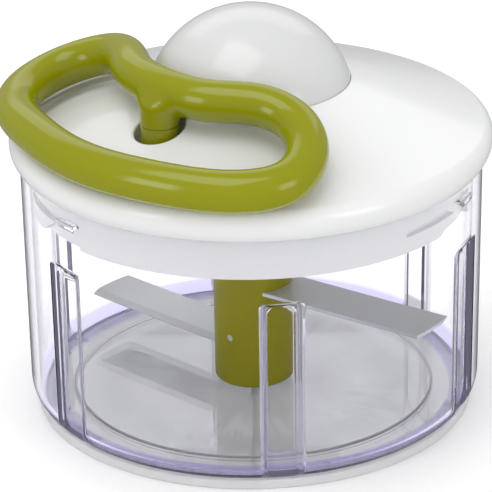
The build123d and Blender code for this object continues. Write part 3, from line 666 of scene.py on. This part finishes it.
def cover_piece():
    """The white cover. A window of its grid is left open round the stem, above and below, and
    filled by two patches: one leads into the well of the stem's sleeve, one down its outside."""
    points, r_top, first_under = cover_surface()
    rows, count = points.shape[:2]
    cx, cy = to_plan(STEM_AT, 0)
    mid = int(round(math.atan2(cy, cx) % TURN / TURN * count))
    span = int(round(HOLE_REACH / STEM_AT / TURN * count))
    cols = (mid - span, mid + span)
    outer_edge = STEM_AT + HOLE_REACH
    top_rows = (1, int(np.argmin(np.abs(r_top - outer_edge))))
    under_r = np.hypot(points[first_under:rows - 5, 0, 0], points[first_under:rows - 5, 0, 1])
    low_rows = (first_under + int(np.argmin(np.abs(under_r - outer_edge))), rows - 7)
    faces = grid_faces(rows, count, True, True)
    row, col = faces[:, 0] // count, faces[:, 0] % count
    window = np.zeros(len(faces), bool)
    for first, last in (top_rows, low_rows):
        window |= (row >= first) & (row < last) & (col >= cols[0]) & (col < cols[1])
    top_patch = stem_patch(points, top_rows, cols, SLEEVE_R + HOLE_EDGE, 0.0)
    low_patch = stem_patch(points, low_rows, cols, SLEEVE_OUT, -COVER_V)
    well = [(SLEEVE_R + HOLE_EDGE * (1 - math.sin(a)), HOLE_EDGE * (1 - math.cos(a)), 1.0)
            for a in np.linspace(0, math.pi / 2, 6)]
    well += [(SLEEVE_R, HOLE_EDGE, share) for share in (0.6, 0.2, 0.02, 0.0)]
    well += [(r, HOLE_EDGE, -0.03) for r in (SLEEVE_R - 0.4, 0.5, 0.0)]
    sleeve = [(SLEEVE_OUT, 0.0, share) for share in (1.0, 0.5, 0.02, 0.0)]
    sleeve += [(r, 0.0, -0.03) for r in (SLEEVE_OUT - 0.4, 0.5, 0.0)]
    all_points, all_faces, offset = [points.reshape(-1, 3)], [faces[~window]], rows * count
    for patch in (top_patch, hole_tube(top_patch[-1], well, SLEEVE_FLOOR),
                  low_patch, hole_tube(low_patch[-1], sleeve, SLEEVE_END)):
        all_faces.append(grid_faces(*patch.shape[:2], False, True) + offset)
        all_points.append(patch.reshape(-1, 3))
        offset += len(all_points[-1])
    ob = mesh_piece("lid_cover_skin", np.concatenate(all_points), np.concatenate(all_faces), "lid", WHITE)
    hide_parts("lid_cover")


def arc_line(radius, first, last, count):
    """Arc of the dome's section between two angles from its top."""
    polar = np.linspace(first, last, count)
    return np.stack([radius * np.sin(polar), DOME_Z + radius * np.cos(polar)], -1)


def dome_piece():
    """The dome: a spherical cap, its foot in the lid's seat with a collar inside, and its hollow."""
    foot = rounded([
        (DOME_BASE_R + 0.15, DOME_BASE + 1, 0), (DOME_BASE_R, DOME_BASE, 0),
        (DOME_BASE_R, DOME_REST + 0.05, 0.2),
        (COLLAR_R, DOME_REST + 0.05, 0.2), (COLLAR_R, DOME_END, 0.3), (COLLAR_IN, DOME_END, 0.3),
        (COLLAR_IN, COLLAR_TOP, 2.0),
    ])[1:-1]
    outside = arc_line(DOME_R, 0, math.asin(DOME_BASE_R / DOME_R), 60)
    inside = arc_line(DOME_INNER_R, math.asin(DOME_HOLLOW_R / DOME_INNER_R), 0, 40)
    ob = turned("dome_cap_skin", np.concatenate([outside, foot, inside]), "lid", DOME_SHADED_WHITE, 260)
    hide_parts("dome_cap")


cover_piece()
dome_piece()

# ------------------------------------------------------------------ handle
RISE, TUBE = 8.2, 6.5
LOOP = [
    (46.5, 56.8), (34.5, 55.0), (24.0, 40.0), (26.7, 28.5), (34.2, 16.5), (37.0, 1.0), (33.0, -17.0),
    (24.8, -29.4), (20.9, -39.0), (27.5, -53.3), (45.0, -54.8),
    (54.0, -49.4), (66.5, -28.5), (73.3, -2.0), (68.6, 29.5), (53.5, 53.2),
]
STEM_R, STEM_JOINT, STEM_BORE = 6.0, 104.5, 3.9
STEM_TOP, STEM_CROWN, BLEND = 113.5, 3.0, 4.5
STEM_SHOULDER = STEM_TOP - STEM_CROWN
BLEND_DEEPEST, BLEND_REACH = -1.2, 16.0


def loop_line(count):
    """Closed centreline of the handle's loop: a periodic cubic through its points, laid on the lid's
    cone raised by the handle's rise. The cubic's slopes come from one linear system."""
    uv = np.array(LOOP)
    xyz = np.column_stack([uv, APEX + RISE - SLOPE * np.hypot(uv[:, 0], uv[:, 1])])
    n = len(xyz)
    nxt = np.roll(xyz, -1, 0)
    h = np.linalg.norm(nxt - xyz, axis=1)
    system, right = np.zeros((n, n)), np.zeros((n, 3))
    for i in range(n):
        before = h[i - 1]
        system[i, i - 1], system[i, i], system[i, (i + 1) % n] = h[i], 2 * (before + h[i]), before
        right[i] = 3 * (before * (nxt[i] - xyz[i]) / h[i] + h[i] * (xyz[i] - xyz[i - 1]) / before)
    slope = np.linalg.solve(system, right)
    knots = np.concatenate([[0], np.cumsum(h)])
    s = np.linspace(0, knots[-1], count, endpoint=False)
    k = np.clip(np.searchsorted(knots, s, "right") - 1, 0, n - 1)
    t = ((s - knots[k]) / h[k])[:, None]
    a, b, ma, mb, hk = xyz[k], nxt[k], slope[k], np.roll(slope, -1, 0)[k], h[k][:, None]
    point = (2 * t**3 - 3 * t**2 + 1) * a + (3 * t**2 - 2 * t**3) * b
    point += (t**3 - 2 * t**2 + t) * hk * ma + (t**3 - t**2) * hk * mb
    along = np.roll(point, -1, 0) - np.roll(point, 1, 0)
    return point, along / np.linalg.norm(along, axis=1)[:, None]


def turn_plan(points):
    """Handle coordinates (u, v, z) turned into the row's frame."""
    x, y = to_plan(points[..., 0], points[..., 1])
    return np.stack([x, y, points[..., 2]], -1)


def tube_gap(points, line):
    """Signed distance from the loop's round tube."""
    best = np.full(len(points), 1e9)
    for chunk in np.array_split(line, 14):
        best = np.minimum(best, np.linalg.norm(points[:, None] - chunk[None], axis=2).min(1))
    return best - TUBE


def stem_gap(points):
    """Signed distance from the upright stem with its rounded top."""
    out = np.hypot(points[:, 0] - STEM_AT, points[:, 1]) - (STEM_R - STEM_CROWN)
    up = points[:, 2] - STEM_SHOULDER
    outside = np.hypot(np.maximum(out, 0), np.maximum(up, 0))
    return outside + np.minimum(np.maximum(out, up), 0) - STEM_CROWN


def joined(points, line):
    """Both bodies' signed distances run together over the blend's width: least of the two less
    (width - difference)^2 / (4 width)."""
    a, b = tube_gap(points, line), stem_gap(points)
    share = np.maximum(BLEND - np.abs(a - b), 0)
    return np.minimum(a, b) - share * share / (4 * BLEND)


def blended(points, line, near):
    """Moves the points near the joint out along the slope of the joined distance to where it is 0."""
    p = points[near]
    for _ in range(6):
        f = joined(p, line)
        slope = np.stack([(joined(p + e, line) - f) / 0.02 for e in 0.02 * np.eye(3)], -1)
        p = p - (f / np.maximum((slope ** 2).sum(1), 0.3))[:, None] * slope
    points[near] = p
    return points


def loop_tube(line, along):
    """Round tube along the loop's centreline, led into the stem's fillet where the two meet."""
    side = np.cross(along, [0, 0, 1.0])
    side /= np.linalg.norm(side, axis=1)[:, None]
    up = np.cross(side, along)
    tube = round_tube(line, side, up, TUBE, 64)
    flat = tube.reshape(-1, 3)
    close = np.hypot(flat[:, 0] - STEM_AT, flat[:, 1]) < BLEND_REACH
    gap = np.full(len(flat), 99.0)
    gap[close] = stem_gap(flat[close])
    return blended(flat, line, (gap < BLEND) & (gap > BLEND_DEEPEST)).reshape(tube.shape)


def stem_post(line):
    """Upright stem turned from its section, led into the loop's fillet."""
    bend = np.linspace(0, math.pi / 2, 10)[1:]
    z = np.concatenate([
        [STEM_JOINT, STEM_JOINT, STEM_JOINT + 0.25], np.linspace(STEM_JOINT + 0.6, STEM_SHOULDER, 26),
        STEM_SHOULDER + STEM_CROWN * np.sin(bend), [STEM_TOP],
    ])
    r = np.concatenate([
        [STEM_BORE, STEM_R - 0.2], np.full(27, STEM_R), STEM_R - STEM_CROWN + STEM_CROWN * np.cos(bend), [0.5],
    ])
    a = around(120)
    stem = np.stack([STEM_AT + r[:, None] * np.cos(a), r[:, None] * np.sin(a), z[:, None] + 0 * a], -1)
    flat = stem.reshape(-1, 3)
    gap = tube_gap(flat, line)
    near = (gap < BLEND) & (gap > BLEND_DEEPEST) & (flat[:, 2] > STEM_JOINT + 0.4)
    return blended(flat, line, near).reshape(stem.shape)


def handle_piece():
    """The green loop with its stem."""
    line, along = loop_line(720)
    loop, stem = turn_plan(loop_tube(line, along)), turn_plan(stem_post(line))
    stem_faces = grid_faces(*stem.shape[:2], False, True) + loop.shape[0] * loop.shape[1]
    ob = mesh_piece(
        "pull_handle", np.concatenate([loop.reshape(-1, 3), stem.reshape(-1, 3)]),
        np.concatenate([grid_faces(*loop.shape[:2], True, True), stem_faces]), "handle", GREEN,
    )
    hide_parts("handle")


handle_piece()

# ------------------------------------------------------------------ cord
CORD_R, CORD_TOP, CORD_Z, CORD_BEND, CORD_ORBIT = 0.9, 110.0, 84.9, 4.4, 17.0
CORD_WRAP = math.radians(80)
CORD_HEADING = HANDLE_ANGLE + math.pi + math.asin(CORD_ORBIT / STEM_AT)


def cord_route():
    """Centreline of the cord: down the stem, a quarter turn over the roller, a level run that
    touches the reel's winding, and an arc of it."""
    run = math.sqrt(STEM_AT ** 2 - CORD_ORBIT ** 2)
    down = np.linspace(CORD_TOP, CORD_Z + CORD_BEND, 60)
    a = np.linspace(0, math.pi / 2, 12)[1:]
    level = np.linspace(CORD_BEND, run, 16)[1:]
    along = np.concatenate([0 * down, CORD_BEND * (1 - np.cos(a)), level])
    z = np.concatenate([down, CORD_Z + CORD_BEND * (1 - np.sin(a)), CORD_Z + 0 * level])
    cx, cy = to_plan(STEM_AT, 0)
    straight = np.stack([cx + along * math.cos(CORD_HEADING), cy + along * math.sin(CORD_HEADING), z], -1)
    touch = HANDLE_ANGLE - math.acos(CORD_ORBIT / STEM_AT)
    a = touch - np.linspace(0, CORD_WRAP, 24)[1:]
    round_reel = np.stack([CORD_ORBIT * np.cos(a), CORD_ORBIT * np.sin(a), CORD_Z + 0 * a], -1)
    return np.concatenate([straight, round_reel])


def cord_piece():
    """Round tube along the route, with closed ends."""
    line = cord_route()
    along = np.gradient(line, axis=0)
    along /= np.linalg.norm(along, axis=1)[:, None]
    level = np.array([-math.sin(CORD_HEADING), math.cos(CORD_HEADING), 0.0])
    side = np.where(np.abs(along[:, 2:]) > 1e-6, level, np.cross(along, [0, 0, 1.0]))
    side -= (side * along).sum(1)[:, None] * along
    side /= np.linalg.norm(side, axis=1)[:, None]
    side *= np.sign(side @ level + 1e-9)[:, None]
    up = np.cross(along, side)
    tube = round_tube(line, side, up, CORD_R, 14)
    tube = np.concatenate([0 * tube[:1] + line[0], tube, 0 * tube[:1] + line[-1]])
    faces = grid_faces(*tube.shape[:2], False, True)
    ob = mesh_piece("pull_cord", tube.reshape(-1, 3), faces, None, CORD)
    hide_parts("cord_lead")
    cx, cy = to_plan(STEM_AT, 0)
    cx * MM
    cy * MM
    cx * MM
    cy * MM
    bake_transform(ob)


cord_piece()

# ------------------------------------------------------------------ stage
CAMERA_RAY, GLOSSY_RAY, TRANSMITTED_RAY = 0, 3, 6
FILL, GLOSS_SHARE = 0.76, 0.40
TABLE_HALF = 3.0
LAMP_AIM = (0, 0, 0.06)


def table():
    """White table. The camera sees it a little lighter, glass lighter still, and gloss darker."""
    n = Nodes("white_table")
    seen = n.mix(n.add("ShaderNodeLightPath", output=CAMERA_RAY), (0.0, 0.0, 0.0), (0.16, 0.16, 0.16))
    through = n.add("ShaderNodeLightPath", output=TRANSMITTED_RAY)
    glossy = n.add("ShaderNodeLightPath", output=GLOSSY_RAY) * (1 - through)
    top = n.mix(n.noise(3.0), (0.93, 0.93, 0.93), (0.95, 0.95, 0.95))
    material = n.surface(
        Base_Color=n.mix(glossy, top, (0.30, 0.30, 0.30)), Roughness=0.6,
        Emission_Color=n.mix(through, seen, (0.42, 0.42, 0.43)), Emission_Strength=1.0,
    )
    me = bpy.data.meshes.new("table")
    corners = [(-1, -1), (1, -1), (1, 1), (-1, 1)]
    me.from_pydata([(x * TABLE_HALF, y * TABLE_HALF, 0) for x, y in corners], [], [(0, 1, 2, 3)])
    me.materials.append(material)
    ob = bpy.data.objects.new("table", me)
    bpy.context.scene.collection.objects.link(ob)


def surroundings():
    """Even white surroundings: full strength for the camera and through glass, less as light and
    least in gloss."""
    n = Nodes("studio", "worlds")
    bpy.context.scene.world = n.material
    strength = FILL + n.add("ShaderNodeLightPath", output=CAMERA_RAY) * (1.0 - FILL)
    strength = strength + n.add("ShaderNodeLightPath", output=GLOSSY_RAY) * (GLOSS_SHARE - strength)
    strength = strength + n.add("ShaderNodeLightPath", output=TRANSMITTED_RAY) * (1.0 - strength)
    sky = n.add("ShaderNodeBackground", Color=(1.0, 1.0, 1.0), Strength=strength)
    n.tree.links.new(sky.socket, n.tree.nodes.new("ShaderNodeOutputWorld").inputs["Surface"])


def lamp(name, place, size, power):
    """Soft rectangular lamp that faces the object."""
    data = bpy.data.lights.new(name, "AREA")
    data.shape = "RECTANGLE"
    data.size, data.size_y = size
    data.energy = power
    ob = bpy.data.objects.new(name, data)
    ob.location = place
    ob.rotation_euler = (Vector(LAMP_AIM) - Vector(place)).to_track_quat("-Z", "Y").to_euler()
    bpy.context.scene.collection.objects.link(ob)


table()
surroundings()
lamp("key", (-0.25, -0.3, 1.3), (0.9, 0.8), 4.6)
lamp("side", (1.0, -0.9, 0.45), (0.6, 0.6), 2.6)
lamp("left", (-1.0, -0.9, 0.45), (0.45, 0.6), 2.4)
lamp("rear", (0.0, 1.1, 0.9), (1.8, 0.7), 3.0)
bpy.context.scene.view_settings.view_transform = "Standard"
